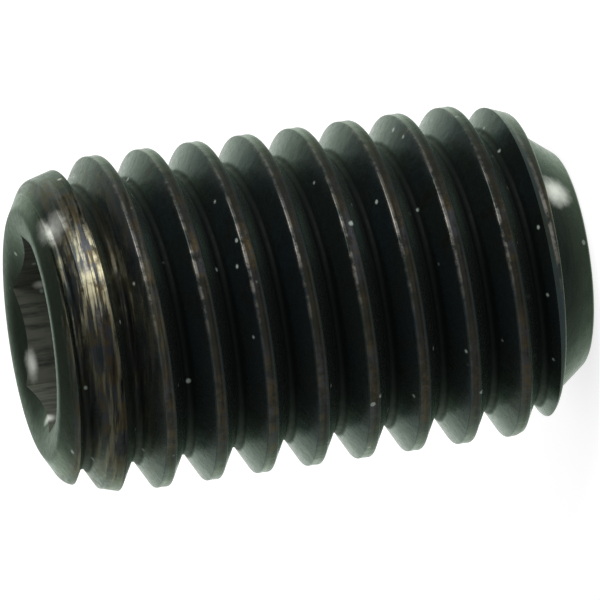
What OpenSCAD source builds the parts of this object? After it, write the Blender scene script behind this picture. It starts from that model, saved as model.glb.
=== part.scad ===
// Grub set screw: a headless steel screw with a hexagon socket in one end and a cup point on the other.
// The screw stands on its point. Its axis is +Z, the rim of the point lies at z = 0 and the socket opens upwards.

/* [Body] */
// Length from the rim of the point to the socket face
length = 16; // [12:0.5:30]
// Diameter over the crests of the thread
major_d = 9.76; // [9.5:0.02:10]

/* [Thread] */
// Distance along the axis from one crest to the next
pitch = 1.5; // [1.25:0.05:1.75]
// Angle between the two flanks of a groove
flank_angle = 60; // [55:1:65]
// Width of the flat on each crest
crest_w = 0.33; // [0.15:0.01:0.4]
// Width of the rounded root between two flanks
root_w = 0.25; // [0.15:0.01:0.35]
// Depth of the rounded root below the ends of the flanks
root_dip = 0.05; // [0.02:0.01:0.08]
// Angle by which the thread is turned about the axis
thread_turn = 16; // [0:1:359]
// Number of straight steps in one turn of the thread
turn_steps = 48; // [24:4:60]

/* [Socket end] */
// Outer diameter of the flat rim round the socket
socket_rim_d = 7.2; // [7.1:0.05:7.8]
// Angle between the outer chamfer and the axis
socket_chamfer_angle = 60; // [45:1:70]
// Diameter at which the chamfer gives way to the first thread
shoulder_d = 8.8; // [8.4:0.05:9.2]
// Length over which the first thread rises from the chamfer to its full height
run_in = 1.7; // [0.6:0.1:2.2]
// Distance across the flats of the hexagon socket
socket_af = 5; // [4:0.05:5.2]
// Depth of the hexagon below the socket face
socket_depth = 6; // [4:0.25:8]
// Gap between each flat of the hexagon and the hole that was drilled before it
drill_gap = 0.05; // [0.02:0.01:0.3]
// Angle across the conical bottom that the drill leaves
drill_angle = 120; // [100:5:150]
// Diameter of the countersink at the mouth of the socket
mouth_d = 6.2; // [5.9:0.05:7]
// Angle across the countersink at the mouth of the socket
mouth_angle = 120; // [90:5:130]

/* [Point end] */
// Outer diameter of the rim of the cup point
point_rim_d = 6.2; // [5.6:0.05:6.6]
// Width of the narrow flat on the rim of the cup point
point_land_w = 0.2; // [0.1:0.05:0.4]
// Angle between the outside of the point and the axis
point_cone_angle = 37.5; // [33:0.5:45]
// Diameter at which the cone of the point gives way to the thread
point_cone_d = 8; // [7.4:0.05:8.2]
// Height of the steep end face in which the thread starts above the cone
thread_start_h = 0.05; // [0.03:0.01:0.3]
// Diameter over the crest of the thread where it starts
thread_start_d = 8.94; // [8.6:0.02:9.4]
// Length over which the thread rises from its start to its full height
run_out = 1.1; // [0.6:0.1:2.2]
// Angle across the hollow cup in the point
cup_angle = 120; // [100:5:130]

/* [Hidden] */
$fn = 96;

major_r = major_d / 2;
half_flank = flank_angle / 2;
flank_w = (pitch - crest_w - root_w) / 2;
flank_foot_r = major_r - flank_w / tan(half_flank);
root_r = flank_foot_r - root_dip;

socket_rim_r = socket_rim_d / 2;
shoulder_r = shoulder_d / 2;
socket_chamfer_h = (shoulder_r - socket_rim_r) / tan(socket_chamfer_angle);
socket_corner_r = socket_af / 2 / cos(30);
mouth_r = mouth_d / 2;
drill_r = socket_af / 2 - drill_gap;
drill_tip_h = drill_r / tan(drill_angle / 2);
point_rim_r = point_rim_d / 2;
point_cone_r = point_cone_d / 2;
point_cone_h = (point_cone_r - point_rim_r) / tan(point_cone_angle);
thread_start_r = thread_start_d / 2;
thread_start_z = point_cone_h + thread_start_h;
cup_r = point_rim_r - point_land_w;

// How far the cutting outline stands clear of the crests and of the two end faces
clear = 0.4;
outline_r = major_r + clear;
// Heights at which the two ends of the cutting outline reach that clear radius
run_out_z = thread_start_z + run_out * (outline_r - thread_start_r) / (major_r - thread_start_r);
run_in_z = length - socket_chamfer_h - run_in * (outline_r - shoulder_r) / (major_r - shoulder_r);

// One pitch of the thread as [height, radius]: crest, flank, rounded root, and back to the next flank
thread_section = [
    [-crest_w / 2, major_r],
    [crest_w / 2, major_r],
    [crest_w / 2 + flank_w, flank_foot_r],
    [pitch / 2, root_r],
    [pitch - crest_w / 2 - flank_w, flank_foot_r]
];
rows = len(thread_section);
// The thread runs past both ends by more than a turn, and the blank's outline cuts it off there
start_turns = -2;
turns = ceil(length / pitch) + 4;
steps = turns * turn_steps;

function thread_point(step, row) =
    let (
        turned = step / turn_steps,
        angle = turned * 360 - thread_turn,
        r = thread_section[row][1]
    )
    [r * cos(angle), r * sin(angle), (turned + start_turns) * pitch + thread_section[row][0]];

function corner(step, row) = step * rows + row;

// Two triangles that close the cell between two points of one row and two points of the next
function cell(a, b, c, d) = [[a, b, c], [a, c, d]];

// Right-hand thread on a solid core, from below the point to above the socket face
module thread_blank() {
    last = steps;
    foot = (steps + 1) * rows;
    top = foot + 1;
    points = [
        for (step = [0:steps], row = [0:rows - 1]) thread_point(step, row),
        [0, 0, thread_point(0, 0)[2]],
        [0, 0, thread_point(last, rows - 1)[2]]
    ];
    along_rows = [
        for (step = [0:steps - 1], row = [0:rows - 2])
            each cell(
                corner(step, row),
                corner(step, row + 1),
                corner(step + 1, row + 1),
                corner(step + 1, row)
            )
    ];
    between_turns = [
        for (step = [0:steps - turn_steps - 1])
            each cell(
                corner(step, rows - 1),
                corner(step + turn_steps, 0),
                corner(step + turn_steps + 1, 0),
                corner(step + 1, rows - 1)
            )
    ];
    foot_fan = concat(
        [for (step = [0:turn_steps - 1]) [foot, corner(step, 0), corner(step + 1, 0)]],
        [for (row = [0:rows - 2]) [foot, corner(0, row + 1), corner(0, row)]],
        [[foot, corner(turn_steps, 0), corner(0, rows - 1)]]
    );
    top_fan = concat(
        [
            for (step = [last - turn_steps:last - 1])
                [top, corner(step + 1, rows - 1), corner(step, rows - 1)]
        ],
        [for (row = [0:rows - 2]) [top, corner(last, row), corner(last, row + 1)]],
        [[top, corner(last - turn_steps, rows - 1), corner(last, 0)]]
    );
    polyhedron(points = points, faces = concat(along_rows, between_turns, foot_fan, top_fan), convexity = 10);
}

// Outline of the blank: the cone of the point, the thread's run-out above it, and the run-in and chamfer at the socket
module blank_outline() {
    rotate_extrude()
        polygon([
            [0, 0],
            [point_rim_r, 0],
            [point_cone_r, point_cone_h],
            [thread_start_r, thread_start_z],
            [outline_r, run_out_z],
            [outline_r, run_in_z],
            [shoulder_r, length - socket_chamfer_h],
            [socket_rim_r, length],
            [0, length]
        ]);
}

// Cone that opens upwards, has the given radius at z = 0 and ends clear above it
module countersink(r, angle) {
    slope = tan(angle / 2);
    translate([0, 0, -r / slope])
        cylinder(h = r / slope + clear, r1 = 0, r2 = r + clear * slope);
}

// Hexagon socket, pressed into a drilled hole, with a countersunk mouth
module socket() {
    translate([0, 0, length])
        countersink(mouth_r, mouth_angle);
    translate([0, 0, length - socket_depth]) {
        cylinder(h = socket_depth + clear, r = socket_corner_r, $fn = 6);
        rotate_extrude()
            polygon([[0, -drill_tip_h], [drill_r, 0], [drill_r, clear], [0, clear]]);
    }
}

// Hollow cone that leaves the point a narrow biting rim
module cup() {
    mirror([0, 0, 1])
        countersink(cup_r, cup_angle);
}

module grub_screw() {
    color([0.09, 0.11, 0.1])
        difference() {
            intersection() {
                thread_blank();
                blank_outline();
            }
            socket();
            cup();
        }
}

grub_screw();
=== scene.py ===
import math

import bmesh
import bpy
from mathutils import Matrix, Vector


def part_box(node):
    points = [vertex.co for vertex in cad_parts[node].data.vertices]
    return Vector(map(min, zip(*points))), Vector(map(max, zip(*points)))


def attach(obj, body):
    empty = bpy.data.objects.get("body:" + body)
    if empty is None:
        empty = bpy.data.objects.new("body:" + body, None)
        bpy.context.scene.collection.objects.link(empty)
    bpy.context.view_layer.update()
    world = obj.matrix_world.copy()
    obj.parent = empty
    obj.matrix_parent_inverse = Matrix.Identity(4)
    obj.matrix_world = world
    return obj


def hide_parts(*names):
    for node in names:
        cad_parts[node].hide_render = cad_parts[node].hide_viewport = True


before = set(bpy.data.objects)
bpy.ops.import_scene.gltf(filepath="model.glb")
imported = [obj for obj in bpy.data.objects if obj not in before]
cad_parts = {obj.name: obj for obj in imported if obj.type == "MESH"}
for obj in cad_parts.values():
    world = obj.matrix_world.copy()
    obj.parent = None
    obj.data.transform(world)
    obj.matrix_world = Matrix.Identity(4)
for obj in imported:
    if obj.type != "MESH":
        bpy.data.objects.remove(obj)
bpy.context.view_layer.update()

# The steel blank with its rolled thread.
# The real screw starts as a length of steel wire. Two dies press the thread into it, so the crests are
# flat with a faint seam along them, where the metal has closed up, and the roots are round.

# Drawn in millimetres, because modelling tools join points that lie a few microns apart in metres.
METRE = 1000.0
low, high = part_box("grub_screw")
length = (high.z - low.z) * METRE
crest_r = (high.x - low.x) / 2 * METRE
pitch = 1.5
half_flank = math.radians(30)
crest_w = 0.33
root_w = 0.25
crest_round = 0.05
seam_depth = 0.015
seam_reach = 0.3
root_dip = 0.05
thread_turn = math.radians(16)
turn_steps = 120
round_steps = 4
root_steps = 6
spare_turns = 2
join_gap = 0.0005

flank_w = (pitch - crest_w - root_w) / 2
flank_foot_r = crest_r - flank_w / math.tan(half_flank)
root_r = flank_foot_r - root_dip


def select_only(piece):
    """Leaves one piece selected and active, so that the next operator acts on it alone."""
    bpy.ops.object.select_all(action="DESELECT")
    piece.select_set(True)
    bpy.context.view_layer.objects.active = piece


def edit(piece):
    """Opens a piece in edit mode with nothing selected."""
    select_only(piece)
    bpy.ops.object.mode_set(mode="EDIT")
    bpy.ops.mesh.select_all(action="DESELECT")


def with_modifier(piece, name, kind, **settings):
    """Adds a modifier to a piece and applies it."""
    select_only(piece)
    modifier = piece.modifiers.new(name, kind)
    for key, value in settings.items():
        setattr(modifier, key, value)
    bpy.ops.object.modifier_apply(modifier=modifier.name)


def drawn_line(name, points):
    """A line drawn point by point in the XZ plane, from a list of (radius, height)."""
    bpy.ops.object.select_all(action="DESELECT")
    r, z = points[0]
    bpy.ops.mesh.primitive_plane_add(size=0.1, location=(0, 0, 0))
    line = bpy.context.active_object
    line.name = name
    bpy.ops.object.mode_set(mode="EDIT")
    bpy.ops.mesh.select_all(action="SELECT")
    bpy.ops.mesh.merge(type="CENTER")
    bpy.ops.transform.translate(value=(r, 0, z))
    for next_r, next_z in points[1:]:
        move = {"value": (next_r - r, 0, next_z - z)}
        bpy.ops.mesh.extrude_vertices_move(TRANSFORM_OT_translate=move)
        r, z = next_r, next_z
    bpy.ops.object.mode_set(mode="OBJECT")
    return line


def arc(centre_r, centre_z, bend_r, start, end, steps):
    """Points of an arc in the XZ plane, with its angles in degrees from the outward direction."""
    angles = [math.radians(start + (end - start) * i / steps) for i in range(steps + 1)]
    return [(centre_r + bend_r * math.cos(a), centre_z + bend_r * math.sin(a)) for a in angles]


def thread_section():
    """One pitch of the thread, from the seam on one crest, over a flank and the root, to the next crest."""
    half = crest_w / 2
    seam = [(crest_r - seam_depth, 0), (crest_r - seam_depth / 3, half * seam_reach)]
    corner_turn = 90 - math.degrees(half_flank)
    corner_z = half - crest_round * math.tan(math.radians(corner_turn / 2))
    corner = arc(crest_r - crest_round, corner_z, crest_round, 0, corner_turn, round_steps)
    root_chord = root_w / 2
    root_bend_r = (root_chord**2 + root_dip**2) / (2 * root_dip)
    reach = math.degrees(math.asin(root_chord / root_bend_r))
    root = arc(root_r + root_bend_r, pitch / 2, root_bend_r, 180 + reach, 180 - reach, root_steps)
    rising = seam + corner
    falling = [(r, pitch - z) for r, z in reversed(rising)]
    return rising + root + falling


# The turns run past both ends by more than a turn, and the outline of the blank cuts them off there.
turns = math.ceil(length / pitch) + 2 * spare_turns
body = drawn_line("threaded_body", thread_section())
with_modifier(
    body,
    "Thread",
    "SCREW",
    angle=math.tau,
    screw_offset=pitch,
    iterations=turns,
    steps=turn_steps,
    render_steps=turn_steps,
    use_merge_vertices=False,
)
edit(body)
bpy.ops.mesh.select_all(action="SELECT")
bpy.ops.mesh.remove_doubles(threshold=join_gap)
bpy.ops.transform.translate(value=(0, 0, -spare_turns * pitch))
for end in (-1, 1):
    # Each open end is closed with a fan: its edges are pulled out and gathered in one point.
    bpy.ops.mesh.select_all(action="DESELECT")
    bpy.ops.mesh.select_non_manifold()
    loose_end = bmesh.from_edit_mesh(body.data)
    for vert in loose_end.verts:
        if (vert.co.z - length / 2) * end < 0:
            vert.select = False
    loose_end.select_flush(False)
    bpy.ops.mesh.extrude_edges_move()
    bpy.ops.mesh.merge(type="CENTER")
bpy.ops.mesh.select_all(action="SELECT")
bpy.ops.mesh.normals_make_consistent(inside=False)
bpy.ops.object.mode_set(mode="OBJECT")
body.rotation_euler.z = -thread_turn
bpy.ops.object.transform_apply(location=False, rotation=True, scale=False)

# The two ends of the blank.
# Before the thread is rolled, the blank is pointed and hollowed at one end and chamfered at the other. The
# thread rises from the cone of the point and dies away at the chamfer, so its first and last turn are lower.
point_rim_r = 3.1
point_land_w = 0.2
point_cone_r = 4.0
point_cone_angle = math.radians(37.5)
point_rim_round = 0.12
thread_start_r = 4.47
thread_start_h = 0.05
thread_start_round = 0.08
run_out = 1.1
cup_half_angle = math.radians(60)
socket_rim_r = 3.6
socket_rim_round = 0.08
chamfer_angle = math.radians(60)
shoulder_r = 4.4
shoulder_round = 0.15
run_in = 1.7
mouth_r = 3.1
mouth_round = 0.3
mouth_half_angle = math.radians(60)
mouth_floor_r = 2.2
outline_gap = 0.4
outline_steps = 192

cup_r = point_rim_r - point_land_w
outline_r = crest_r + outline_gap
shoulder_z = length - (shoulder_r - socket_rim_r) / math.tan(chamfer_angle)
point_cone_z = (point_cone_r - point_rim_r) / math.tan(point_cone_angle)
thread_start_z = point_cone_z + thread_start_h
# The run-out and the run-in go on at their own slope until they stand clear of the crests.
run_out_z = thread_start_z + run_out * (outline_r - thread_start_r) / (crest_r - thread_start_r)
run_in_z = shoulder_z - run_in * (outline_r - shoulder_r) / (crest_r - shoulder_r)
mouth_floor_z = length - (mouth_r - mouth_floor_r) / math.tan(mouth_half_angle)
outline_points = {
    "cup_tip": (0, cup_r / math.tan(cup_half_angle)),
    "cup_rim": (cup_r, 0),
    "point_rim": (point_rim_r, 0),
    "point_cone": (point_cone_r, point_cone_z),
    "thread_start": (thread_start_r, thread_start_z),
    "run_out": (outline_r, run_out_z),
    "run_in": (outline_r, run_in_z),
    "shoulder": (shoulder_r, shoulder_z),
    "socket_rim": (socket_rim_r, length),
    "mouth": (mouth_r, length),
    "mouth_floor": (mouth_floor_r, mouth_floor_z),
    "mouth_middle": (0, mouth_floor_z),
}
outline_rounds = {
    "point_rim": point_rim_round,
    "thread_start": thread_start_round,
    "shoulder": shoulder_round,
    "socket_rim": socket_rim_round,
    "mouth": mouth_round,
}


def spin_round(line, steps):
    """Spins a drawn line once round the screw's axis into a closed shape."""
    edit(line)
    bpy.ops.mesh.select_all(action="SELECT")
    bpy.ops.mesh.spin(steps=steps, angle=math.tau, center=(0, 0, 0), axis=(0, 0, 1))
    bpy.ops.mesh.select_all(action="SELECT")
    bpy.ops.mesh.remove_doubles(threshold=join_gap)
    bpy.ops.mesh.normals_make_consistent(inside=False)
    bpy.ops.object.mode_set(mode="OBJECT")


def cut(piece, tool, operation):
    """Cuts a piece with a tool, by difference or intersection, and removes the tool."""
    with_modifier(piece, "Cut", "BOOLEAN", object=tool, operation=operation, solver="EXACT")
    bpy.data.objects.remove(tool)


outline = drawn_line("blank_outline", list(outline_points.values()))
for corner, corner_round in outline_rounds.items():
    edit(outline)
    drawing = bmesh.from_edit_mesh(outline.data)
    r, z = outline_points[corner]
    for vert in drawing.verts:
        vert.select = (vert.co - Vector((r, 0, z))).length < join_gap
    drawing.select_flush(True)
    bpy.ops.mesh.bevel(offset=corner_round, segments=round_steps, affect="VERTICES")
    bpy.ops.object.mode_set(mode="OBJECT")
spin_round(outline, outline_steps)
cut(body, outline, "INTERSECT")

# The hexagon socket.
# It is punched or broached into a drilled hole, so its corners are a little rounded and it ends in the
# cone that the drill left.
socket_af = 5.0
socket_depth = 6.0
socket_corner_round = 0.14
socket_clear = 1.0
half_side_angle = math.radians(30)
drill_gap = 0.05
drill_half_angle = math.radians(60)
drill_clear = 0.5
drill_steps = 96
smooth_angle = math.radians(32)

socket_r = socket_af / 2
socket_floor_z = length - socket_depth
prism_h = socket_depth + socket_clear
bpy.ops.object.select_all(action="DESELECT")
bpy.ops.mesh.primitive_cylinder_add(
    vertices=6,
    radius=socket_r / math.cos(half_side_angle),
    depth=prism_h,
    location=(0, 0, socket_floor_z + prism_h / 2),
    rotation=(0, 0, half_side_angle),
)
prism = bpy.context.active_object
bpy.ops.object.transform_apply(location=True, rotation=True, scale=True)
edit(prism)
prism_mesh = bmesh.from_edit_mesh(prism.data)
for edge in prism_mesh.edges:
    rise = abs(edge.verts[0].co.z - edge.verts[1].co.z)
    edge.select = rise > socket_depth
prism_mesh.select_flush(False)
bpy.ops.mesh.bevel(offset=socket_corner_round, segments=round_steps, affect="EDGES")
bpy.ops.object.mode_set(mode="OBJECT")
cut(body, prism, "DIFFERENCE")

drill_r = socket_r - drill_gap
drill_tip_z = socket_floor_z - drill_r / math.tan(drill_half_angle)
drill_top_z = socket_floor_z + drill_clear
drill_points = [(0, drill_tip_z), (drill_r, socket_floor_z), (drill_r, drill_top_z), (0, drill_top_z)]
drill = drawn_line("drill", drill_points)
spin_round(drill, drill_steps)
cut(body, drill, "DIFFERENCE")

select_only(body)
body.scale = (1 / METRE, 1 / METRE, 1 / METRE)
bpy.ops.object.transform_apply(location=False, rotation=False, scale=True)
bpy.ops.object.shade_smooth_by_angle(angle=smooth_angle)

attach(body, "root")
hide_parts("grub_screw")

# The blackened finish.
# The steel is dipped in a hot oxide bath and then oiled, which leaves a thin skin from blue-black to
# green-black. Use has worn it brown or down to bare steel on the crests and the first turn. Polished spots
# and bright edge lines on the side facing the softbox are painted highlights, and the cone of the point
# and the flanks facing it are darkened as painted shade.
oxide_blue = (0.013, 0.021, 0.026, 1)
oxide_green = (0.014, 0.021, 0.018, 1)
oxide_brown = (0.014, 0.012, 0.008, 1)
oxide_turned = (0.018, 0.026, 0.016, 1)
# A near-black oxide, used for dark mottle at the socket rim and as painted shade on the cone and the
# point-facing flanks.
dark_oxide_and_shade = (0.004, 0.0055, 0.005, 1)
grime = (0.006, 0.0072, 0.0068, 1)
worn_brown = (0.046, 0.036, 0.019, 1)
worn_grey = (0.030, 0.032, 0.036, 1)
# The bright worn edge colour: painted highlight on the crest edges and the shoulder corner that face the
# softbox.
edge_highlight_colour = (0.150, 0.143, 0.128, 1)
rubbed_olive = (0.105, 0.100, 0.064, 1)
bare_steel = (0.27, 0.25, 0.165, 1)
# The colour of the polished spots that are painted highlights on the cone of the point, the shoulder and the
# socket.
highlight_spot_steel = (0.68, 0.70, 0.64, 1)
punched_steel = (0.076, 0.080, 0.062, 1)
dust = (0.24, 0.28, 0.25, 1)
reflection_tint = (0.86, 1.0, 0.86, 1)
oil_haze = 0.048
oil_haze_spread = 0.5
oil_haze_tint = (0.84, 1.0, 0.92, 1)
skin_roughness = (0.20, 0.30)
worn_roughness = 0.1
dirty_roughness = 0.3
socket_dullness = 0.8
flank_dullness = 0.18
pits_rise = 0.002
waves_rise = 0.02
scratch_rise = 0.003

# Each zone of the finish fades in from its first radius to its second, both in millimetres.
crest_radii = (4.3, 4.4)
first_turn_radii = (3.9, 4.3)
handled_radii = (3.9, 4.2)
root_radii = (4.20, 4.09)
point_side_radii = (4.0, 4.1)
socket_side_radii = (4.10, 4.25)
end_face_radii = (3.8, 3.6)
socket_radii = (3.05, 2.85)
# The same for heights above the rim of the point, and for depths below the socket face.
cone_heights = (1.3, 1.15)
point_heights = (0.9, 0.0)
root_heights = (1.0, 1.4)
first_turn_depths = (3.6, 1.2)
root_depths = (0.4, 0.7)
point_side_depths = (0.45, 0.6)
end_face_depths = (0.6, 0.5)
socket_rim_depths = (0.5, 0.4)
socket_wall_depths = (1.2, 2.0)
socket_floor_depths = (socket_depth + 1.6, socket_depth)
# The same for distances along the axis from the middle of a crest, or from the corner of the shoulder.
flat_reach = (crest_w / 2 + 0.02, crest_w / 2 - 0.11)
edge_line = crest_w / 2 - 0.03
edge_reach = (0.08, 0.03)
shoulder_reach = (0.09, 0.04)
point_side_reach = (-0.10, -0.17)

# A spot that has been handled, and the spots of painted highlight, as their middle and their reach along
# each axis.
handled_spot = ((1.2, -4.3, length - 0.75), (2.3, 2.3, 2.3))
highlight_spots = {
    "cone_of_the_point": ((1.96, -3.13, 0.77), (0.6, 0.8, 0.75)),
    "shoulder": ((3.02, -3.12, length - 0.36), (0.72, 0.86, 0.6)),
    "far_flat": ((-0.85, 2.5, length - 0.38), (0.6, 0.35, 0.24)),
    "low_flat": ((-2.44, 0.77, length - 0.3), (0.3, 0.3, 0.3)),
    "corner": ((1.45, 2.5, length - 0.95), (0.2, 0.3, 0.3)),
}
highlight_raggedness = 0.9

# Marks that run round the screw or along the socket, in ripples per millimetre along each axis.
ring_stretch = (0.7, 0.7, 9.0)
fine_ring_stretch = (0.5, 0.5, 9.0)
fine_ring_shift = (3, 1, 0)
broach_stretch = (7, 7, 0.9)
specks_per_mm = 0.95
speck_reach = (0.095, 0.03)

steel = bpy.data.materials.new("blackened_steel")
steel.use_nodes = True
tree = steel.node_tree
shader = tree.nodes["Principled BSDF"]


def feed(socket, value):
    """Links an output to a socket, or writes a plain value into it."""
    if isinstance(value, bpy.types.NodeSocket):
        tree.links.new(value, socket)
    else:
        socket.default_value = value


def calc(operation, first, second=0.0):
    """One step of arithmetic in the tree that is being drawn."""
    step = tree.nodes.new("ShaderNodeMath")
    step.operation = operation
    feed(step.inputs[0], first)
    feed(step.inputs[1], second)
    return step.outputs[0]


def between(value, first, last, start=0.0, end=1.0):
    """Goes smoothly from start to end while the value goes from first to last."""
    step = tree.nodes.new("ShaderNodeMapRange")
    step.interpolation_type = "SMOOTHSTEP"
    feed(step.inputs["Value"], value)
    step.inputs["From Min"].default_value = first
    step.inputs["From Max"].default_value = last
    step.inputs["To Min"].default_value = start
    step.inputs["To Max"].default_value = end
    return step.outputs["Result"]


def strongest(*masks):
    """The strongest of several masks."""
    result = masks[0]
    for mask in masks[1:]:
        result = calc("MAXIMUM", result, mask)
    return result


def both(*masks):
    """Where all of several masks hold. A plain number makes a mask weaker."""
    result = masks[0]
    for mask in masks[1:]:
        result = calc("MULTIPLY", result, mask)
    return result


def scaled(vector, scale, shift=(0, 0, 0)):
    """A pattern's own coordinates: stretched along each axis, then moved."""
    step = tree.nodes.new("ShaderNodeMapping")
    feed(step.inputs["Vector"], vector)
    step.inputs["Scale"].default_value = scale
    step.inputs["Location"].default_value = shift
    return step.outputs[0]


def parts_of(vector):
    """The three numbers of a vector."""
    step = tree.nodes.new("ShaderNodeSeparateXYZ")
    feed(step.inputs[0], vector)
    return step.outputs


def size_of(vector):
    """The length of a vector."""
    step = tree.nodes.new("ShaderNodeVectorMath")
    step.operation = "LENGTH"
    feed(step.inputs[0], vector)
    return step.outputs["Value"]


def distance_from(vector, spot, reach=(1, 1, 1)):
    """How far a place lies from a spot, with the spot's reach along each axis counted as 1."""
    scale = tuple(1 / r for r in reach)
    shift = tuple(-c / r for c, r in zip(spot, reach))
    return size_of(scaled(vector, scale, shift))


def noise(vector, scale, detail=3.0, rough=0.6):
    """Cloudy noise from 0 to 1, with its size given per millimetre."""
    step = tree.nodes.new("ShaderNodeTexNoise")
    feed(step.inputs["Vector"], vector)
    step.inputs["Scale"].default_value = scale
    step.inputs["Detail"].default_value = detail
    step.inputs["Roughness"].default_value = rough
    return step.outputs[0]


def blend_colours(first, second, share):
    """A colour between two others."""
    step = tree.nodes.new("ShaderNodeMix")
    step.data_type = "RGBA"
    feed(step.inputs["Factor"], share)
    feed(step.inputs[6], first)
    feed(step.inputs[7], second)
    return step.outputs[2]


def raised(pattern, rise, under=None):
    """A bump that follows a pattern and rises by some millimetres, on top of another one."""
    step = tree.nodes.new("ShaderNodeBump")
    step.inputs["Distance"].default_value = rise / METRE
    feed(step.inputs["Height"], pattern)
    if under is not None:
        feed(step.inputs["Normal"], under)
    return step.outputs[0]


coordinates = tree.nodes.new("ShaderNodeTexCoord")
place = scaled(coordinates.outputs["Object"], (METRE, METRE, METRE))
place_x, place_y, height = parts_of(place)
depth = calc("SUBTRACT", length, height)
radius = size_of(scaled(place, (1, 1, 0)))
facing_along = calc("ABSOLUTE", parts_of(coordinates.outputs["Normal"])[2])
# How far along the axis a place lies from the middle of the nearest crest.
turned = calc("DIVIDE", calc("ADD", calc("ARCTAN2", place_y, place_x), thread_turn), math.tau)
turns_up = calc("SUBTRACT", calc("DIVIDE", height, pitch), turned)
part_turn = calc("SUBTRACT", calc("FRACT", calc("ADD", turns_up, 0.5)), 0.5)
from_crest = calc("MULTIPLY", part_turn, pitch)
# How far a place lies from the corner of the shoulder, in the section through the axis.
joined = tree.nodes.new("ShaderNodeCombineXYZ")
feed(joined.inputs[0], radius)
feed(joined.inputs[1], height)
from_shoulder = distance_from(joined.outputs[0], (shoulder_r, shoulder_z, 0))

streaks = noise(scaled(place, ring_stretch), 1.0, 4.0, 0.65)
fine_streaks = noise(scaled(place, fine_ring_stretch, fine_ring_shift), 1.0)
broach_marks = noise(scaled(place, broach_stretch), 1.0)
dashes = noise(place, 2.4, rough=0.7)
patches = noise(place, 0.55)
blotches = noise(place, 1.1)
mottle = noise(place, 1.6, 4.0)
flecks = noise(place, 3.0)
grain = noise(place, 6.0, 4.0)

# The side that faces the softbox is worn the most, and its bright edges are partly painted highlight; the
# side opposite it is worn next.
lit_worn_side = both(between(place_x, -1.2, 1.6, 0.05, 1.0), between(place_x, 1.6, 2.6, 1.0, 0.35))
lowermost = between(place_x, -0.6, -2.4, 0.0, 0.8)
# The flats of the crests are worn in dashes. The crest edge that faces the socket end, and the corner of the
# shoulder, get a bright line that is partly painted highlight.
outside = between(radius, *crest_radii)
flat_top = both(outside, between(calc("ABSOLUTE", from_crest), *flat_reach))
dashed = between(dashes, 0.36, 0.6, 0.15, 1.0)
flat_wear = both(flat_top, between(calc("ADD", streaks, patches), 0.7, 1.2), dashed)
from_edge = calc("ABSOLUTE", calc("SUBTRACT", from_crest, edge_line))
highlight_lines = both(outside, between(from_edge, *edge_reach))
highlight_lines = strongest(highlight_lines, between(from_shoulder, *shoulder_reach))
edge_wear_and_highlight = both(highlight_lines, between(dashes, 0.38, 0.64))
# Spanners and fingers have rubbed the first turn in rings, down to bare steel on one side.
first_turn = both(between(depth, *first_turn_depths), between(radius, *first_turn_radii))
first_turn = both(first_turn, between(streaks, 0.35, 0.56))
handled = both(between(distance_from(place, *handled_spot), 1.0, 0.3), between(radius, *handled_radii))
handled = both(handled, between(fine_streaks, 0.46, 0.60), between(blotches, 0.34, 0.56, 0.1, 1.0))
worn = strongest(both(edge_wear_and_highlight, lit_worn_side), both(flat_wear, strongest(lit_worn_side, lowermost)), first_turn)
# The painted highlight spots have ragged edges.
ragged = calc("MULTIPLY", calc("SUBTRACT", mottle, 0.5), highlight_raggedness)
painted_highlights = 0.0
for spot, reach in highlight_spots.values():
    near = calc("ADD", distance_from(place, spot, reach), ragged)
    painted_highlights = strongest(painted_highlights, between(near, 1.0, 0.0))

# Oil and dirt lie in the roots, dust sticks to the oil, and the punched socket took the oxide badly.
in_root = both(between(radius, *root_radii), between(height, *root_heights), between(depth, *root_depths))
in_socket = both(between(radius, *socket_radii), between(depth, *socket_floor_depths))
below_mouth = strongest(between(facing_along, 0.5, 0.2), between(depth, *socket_wall_depths))
in_socket = both(in_socket, below_mouth)
end_face = both(between(radius, *end_face_radii), between(depth, *end_face_depths))
specks = tree.nodes.new("ShaderNodeTexVoronoi")
specks.inputs["Scale"].default_value = specks_per_mm
feed(specks.inputs["Vector"], place)
speck = between(specks.outputs["Distance"], *speck_reach)

# The skin is greenish on the turned ends. The cone of the point and the flanks that face the point are
# darkened as painted shade, which hides their reflection of the floor. On the other flanks the oil has dried
# to a slightly dull film.
on_cone = between(height, *cone_heights)
thin = strongest(between(height, *point_heights), between(depth, *socket_rim_depths))
point_flank_shade = both(between(from_crest, *point_side_reach), between(radius, *point_side_radii))
point_flank_shade = both(point_flank_shade, between(depth, *point_side_depths))
flat_shade_or_highlight = strongest(flat_top, point_flank_shade, painted_highlights)
socket_side = both(between(radius, *socket_side_radii), calc("SUBTRACT", 1.0, flat_shade_or_highlight))

oxide = blend_colours(oxide_blue, oxide_green, between(patches, 0.35, 0.65))
oxide = blend_colours(oxide, oxide_brown, strongest(between(mottle, 0.50, 0.78), both(flat_top, 0.8)))
end_skin_and_shade = blend_colours(dark_oxide_and_shade, oxide_turned, both(thin, between(mottle, 0.25, 0.55, 0.5, 1.0)))
# Painted shade: the cone of the point is near black, with greener mottle only near its rim and at the socket
# rim.
oxide = blend_colours(oxide, end_skin_and_shade, strongest(on_cone, thin))
oxide = blend_colours(oxide, grime, in_root)
# Painted shade: the flanks that face the point and the floor are darkened.
oxide = blend_colours(oxide, dark_oxide_and_shade, point_flank_shade)
punched = blend_colours(grime, punched_steel, between(broach_marks, 0.2, 0.6))
oxide = blend_colours(oxide, punched, in_socket)
worn_skin = blend_colours(worn_brown, worn_grey, between(mottle, 0.44, 0.56))
colour = blend_colours(oxide, worn_skin, worn)
olive_rings = both(first_turn, between(fine_streaks, 0.46, 0.64), between(place_x, 1.5, -0.5, 0.35, 1.0))
colour = blend_colours(colour, rubbed_olive, olive_rings)
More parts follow.
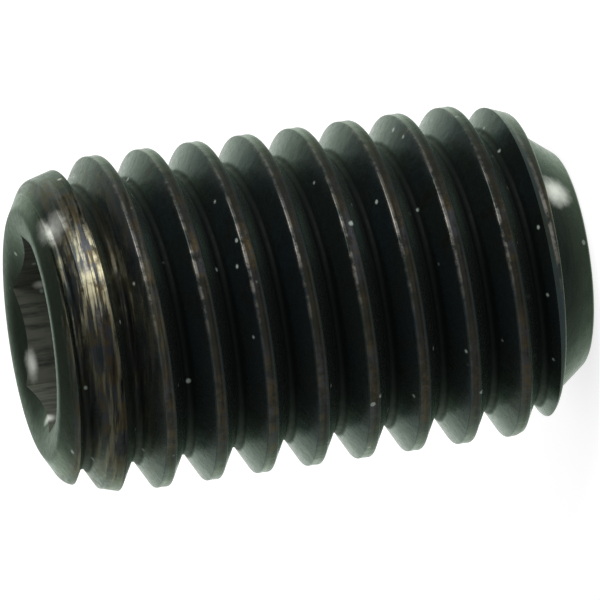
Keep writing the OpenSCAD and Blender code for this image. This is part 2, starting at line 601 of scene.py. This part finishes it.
# Painted highlight: the worn edges on the side facing the softbox are made bright.
colour = blend_colours(colour, edge_highlight_colour, both(edge_wear_and_highlight, lit_worn_side))
bare = blend_colours(worn_brown, bare_steel, between(flecks, 0.3, 0.5))
colour = blend_colours(colour, bare, handled)
# Painted highlights: bright polished spots where lamps would glint on the cone, the shoulder and the socket.
colour = blend_colours(colour, highlight_spot_steel, painted_highlights)
feed(shader.inputs["Base Color"], blend_colours(colour, dust, speck))

dull = strongest(speck, both(in_socket, socket_dullness), both(socket_side, flank_dullness))
feed(shader.inputs["Metallic"], calc("SUBTRACT", 1.0, dull))
from_wear = calc("MULTIPLY", strongest(worn, handled), worn_roughness)
dirty = strongest(in_root, in_socket, both(end_face, 0.5), both(painted_highlights, 0.7))
from_dirt = calc("MULTIPLY", dirty, dirty_roughness)
roughness = calc("ADD", between(grain, 0.3, 0.7, *skin_roughness), from_wear)
feed(shader.inputs["Roughness"], calc("ADD", roughness, from_dirt))
shader.inputs["Specular Tint"].default_value = reflection_tint
shader.inputs["Sheen Weight"].default_value = oil_haze
shader.inputs["Sheen Roughness"].default_value = oil_haze_spread
shader.inputs["Sheen Tint"].default_value = oil_haze_tint
surface = raised(noise(place, 14.0), pits_rise)
surface = raised(noise(place, 1.3, 2.0, 0.5), waves_rise, surface)
surface = raised(fine_streaks, scratch_rise, surface)
feed(shader.inputs["Normal"], surface)
body.data.materials.append(steel)

# The floor: plain white paper that fills the picture behind the screw.
# It shows at full white to the camera and in the screw's reflections, and takes the soft shadow.
floor_size = 4.0
floor_grey = (0.5, 0.5, 0.5, 1)
floor_roughness = 0.9
floor_glow = 0.77

bpy.ops.object.select_all(action="DESELECT")
bpy.ops.mesh.primitive_plane_add(size=floor_size, location=(0, 0, 0))
floor = bpy.context.active_object
floor.name = "floor"
paper = bpy.data.materials.new("paper")
paper.use_nodes = True
tree = paper.node_tree
shader = tree.nodes["Principled BSDF"]
shader.inputs["Base Color"].default_value = floor_grey
shader.inputs["Roughness"].default_value = floor_roughness
shader.inputs["Emission Color"].default_value = (1, 1, 1, 1)
ray = tree.nodes.new("ShaderNodeLightPath").outputs
looked_at = strongest(ray["Is Camera Ray"], ray["Is Glossy Ray"], ray["Is Transmission Ray"])
feed(shader.inputs["Emission Strength"], calc("MULTIPLY", looked_at, floor_glow))
floor.data.materials.append(paper)

# The studio: a pale backdrop low down behind the screw, in a dimmer room.
# One large softbox stands beside the camera.
room_light = 0.42
backdrop_light = 1.0
backdrop_sides = (-0.1, 0.6)
backdrop_top = (0.62, 0.40)
softbox_place = Vector((0.24, -0.18, 0.16))
softbox_size = 0.25
softbox_watts = 1.0

world = bpy.data.worlds.new("studio")
bpy.context.scene.world = world
world.use_nodes = True
tree = world.node_tree
background = tree.nodes["Background"]
background.inputs["Color"].default_value = (1, 1, 1, 1)
direction = parts_of(tree.nodes.new("ShaderNodeTexCoord").outputs["Generated"])
backdrop = both(between(direction["Y"], *backdrop_sides), between(direction["Z"], *backdrop_top))
shine = calc("ADD", calc("MULTIPLY", backdrop, backdrop_light - room_light), room_light)
feed(background.inputs["Strength"], shine)

screw_middle = Vector((0, 0, length / METRE / 2))
bpy.ops.object.light_add(type="AREA", location=softbox_place)
softbox = bpy.context.active_object
softbox.name = "key_softbox"
softbox.data.size = softbox_size
softbox.data.energy = softbox_watts
softbox.rotation_euler = (screw_middle - softbox_place).to_track_quat("-Z", "Y").to_euler()

# The camera looks 12 degrees down at the standing screw and is rolled on its side, so that the screw lies
# in the picture with its socket end at the left and rises 8 degrees to the right.
picture_px = 600
px_per_metre = 34550
screw_middle_px = (299.7, 296.9)
camera_distance = 0.3
look_down = math.radians(12)
roll = math.radians(8.07)
sensor_mm = 36

forward = Vector((0, math.cos(look_down), -math.sin(look_down)))
upright = Vector((0, math.sin(look_down), math.cos(look_down)))
sideways = Vector((1, 0, 0))
picture_right = -math.sin(roll) * sideways - math.cos(roll) * upright
picture_up = math.cos(roll) * sideways - math.sin(roll) * upright
picture_middle = (
    screw_middle
    + picture_right * (picture_px / 2 - screw_middle_px[0]) / px_per_metre
    - picture_up * (picture_px / 2 - screw_middle_px[1]) / px_per_metre
)
bpy.ops.object.camera_add(location=picture_middle - forward * camera_distance)
camera = bpy.context.active_object
camera.rotation_euler = Matrix((picture_right, picture_up, -forward)).transposed().to_euler()
camera.data.sensor_width = sensor_mm
camera.data.lens = sensor_mm * camera_distance * px_per_metre / picture_px
bpy.context.scene.camera = camera
bpy.context.scene.view_settings.view_transform = "Standard"
